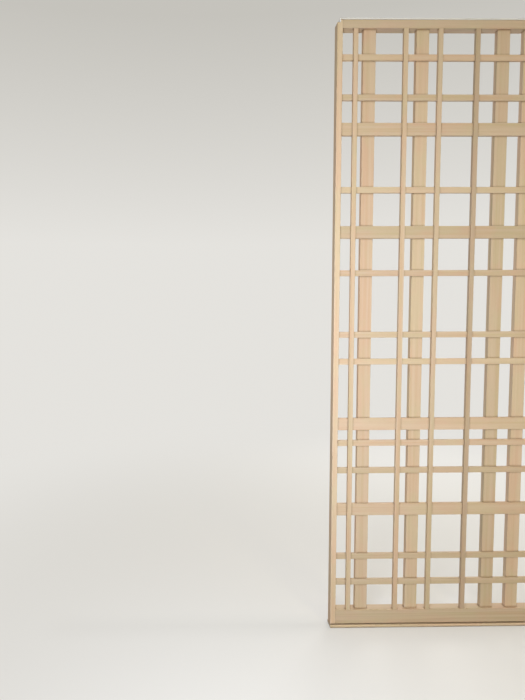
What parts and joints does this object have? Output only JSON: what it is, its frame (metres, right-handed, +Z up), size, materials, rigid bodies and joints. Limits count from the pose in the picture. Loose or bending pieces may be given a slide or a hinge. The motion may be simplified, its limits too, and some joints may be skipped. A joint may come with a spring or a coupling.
{
  "type": "shoji sliding screen",
  "caption": "Floor-to-ceiling sliding screen: an open lattice of pale wood, without paper, that rolls sideways on a sill rail under a head guide, with its jamb.",
  "frame": {"origin": "middle of the sill's underside, at floor level, in the plane of the running rail", "axes": "+Z up, X along the run with the screen at rest at the -X end, -Y towards the room that sees the front"},
  "size_m": [1.931, 0.06, 2.5],
  "materials": {
    "stile_wood": "pale matt wood, straight grain",
    "narrow_wood": "pale matt wood, upright grain",
    "wide_wood": "pale matt wood, upright grain",
    "bar_wood": "pale matt wood, grain along the bar",
    "frame_wood": "pale matt wood",
    "guide_paint": "satin off-white paint",
    "rail_brass": "dull drawn brass",
    "screw_steel": "zinc-plated steel",
    "wheel_nylon": "natural nylon"
  },
  "bodies": {
    "frame": {"sill_board": "frame_wood", "running_rail": "rail_brass", "head_strip": "guide_paint", "end_stop": "guide_paint", "guide_fin": "guide_paint", "right_jamb": "frame_wood"},
    "screen": {"head_rail": "stile_wood", "foot_rail": "stile_wood", "left_stile": "stile_wood", "right_stile": "stile_wood", "narrow_upright_1": "narrow_wood", "narrow_upright_2": "narrow_wood", "narrow_upright_3": "narrow_wood", "narrow_upright_4": "narrow_wood", "narrow_upright_5": "narrow_wood", "wide_upright_1": "wide_wood", "wide_upright_2": "wide_wood", "wide_upright_3": "wide_wood", "wide_upright_4": "wide_wood", "crossbar_01_slim": "bar_wood", "crossbar_02_slim": "bar_wood", "crossbar_03_broad": "bar_wood", "crossbar_04_slim": "bar_wood", "crossbar_05_broad": "bar_wood", "crossbar_06_slim": "bar_wood", "crossbar_07_slim": "bar_wood", "crossbar_08_slim": "bar_wood", "crossbar_09_broad": "bar_wood", "crossbar_10_slim": "bar_wood", "crossbar_11_slim": "bar_wood", "crossbar_12_broad": "bar_wood", "crossbar_13_slim": "bar_wood", "crossbar_14_slim": "bar_wood", "roller_case_left": "screw_steel", "roller_case_right": "screw_steel", "axle_pin_left": "screw_steel", "axle_pin_right": "screw_steel"},
    "wheel_left": {"roller_wheel_left": "wheel_nylon"},
    "wheel_right": {"roller_wheel_right": "wheel_nylon"}
  },
  "joints": [
    {"name": "screen_slide", "type": "slide", "parent": "frame", "child": "screen", "axis": [1, 0, 0], "range_m": [0, 0.9]},
    {"name": "wheel_left_roll", "type": "hinge", "parent": "screen", "child": "wheel_left", "pos_m": [-0.8455, 0, 0.0263], "axis": [0, 1, 0], "range_deg": [0, 5160]},
    {"name": "wheel_right_roll", "type": "hinge", "parent": "screen", "child": "wheel_right", "pos_m": [-0.0855, 0, 0.0263], "axis": [0, 1, 0], "range_deg": [0, 5160]}
  ],
  "couplings": [
    {"joint": "wheel_left_roll", "follows": "screen_slide", "rad_per_m": 100},
    {"joint": "wheel_right_roll", "follows": "screen_slide", "rad_per_m": 100}
  ]
}
